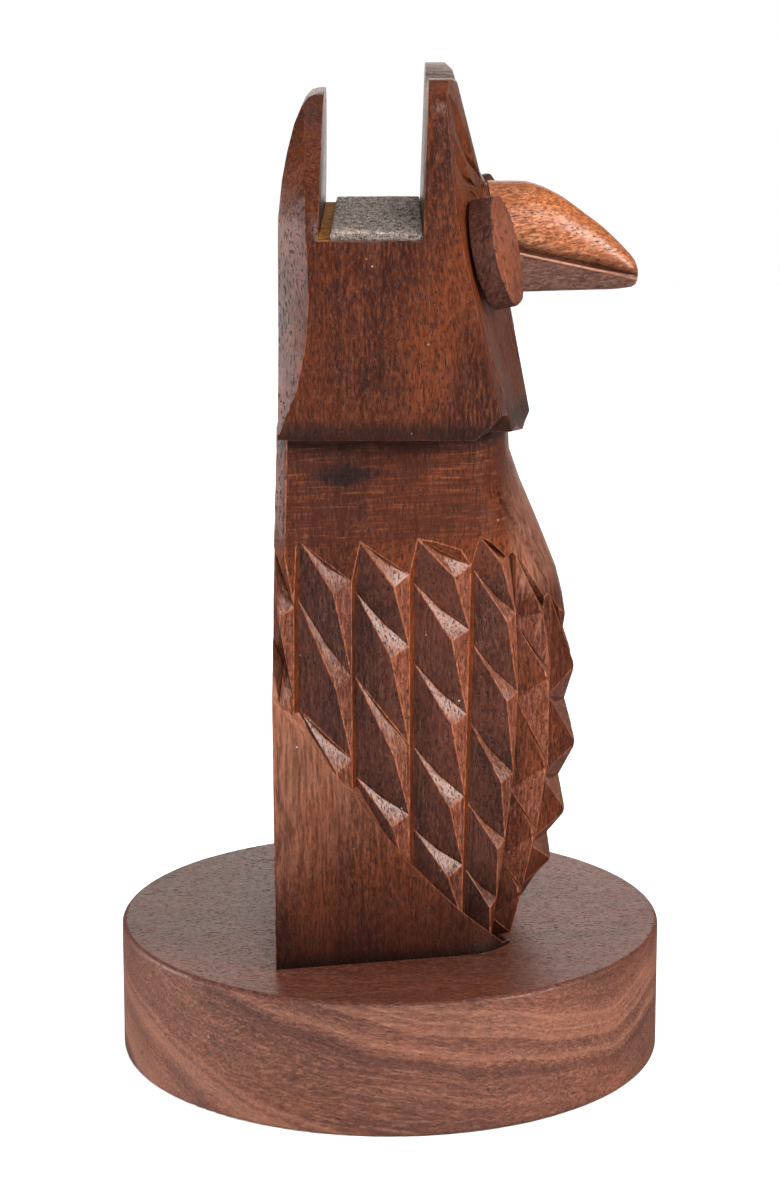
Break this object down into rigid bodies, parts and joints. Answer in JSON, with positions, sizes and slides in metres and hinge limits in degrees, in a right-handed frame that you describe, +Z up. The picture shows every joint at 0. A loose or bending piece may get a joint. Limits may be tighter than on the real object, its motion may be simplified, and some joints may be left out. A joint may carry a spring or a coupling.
{
  "type": "carved wooden owl stand",
  "caption": "Carved wooden owl on a round base, with a felt-lined phone slot through the head and a beak that carries spectacles.",
  "frame": {"origin": "centre of the round base's underside, on the surface the stand rests on", "axes": "+Z up; the owl looks along -Y, so its back is towards +Y; +X is the owl's left side"},
  "size_m": [0.1, 0.1, 0.1802],
  "materials": {
    "carved_wood": "satin, oiled reddish-brown hardwood with a carved surface",
    "base_wood": "satin, same wood, turned, grain across the disc",
    "beak_wood": "satin, lighter orange-brown wood, grain along the beak",
    "eye_wood": "satin, hand-cut disc with tool marks",
    "dowel_wood": "raw pale hardwood dowel",
    "felt": "matted grey felt with pale fibres",
    "screw_steel": "plain steel wood screw"
  },
  "bodies": {
    "root": {"base_disc": "base_wood", "figure_body": "carved_wood", "beak": "beak_wood", "beak_dowel": "dowel_wood", "left_eye_disc": "eye_wood", "right_eye_disc": "eye_wood", "left_eye_dowel": "dowel_wood", "right_eye_dowel": "dowel_wood", "slot_lining": "felt", "base_screws": "screw_steel"}
  },
  "joints": []
}
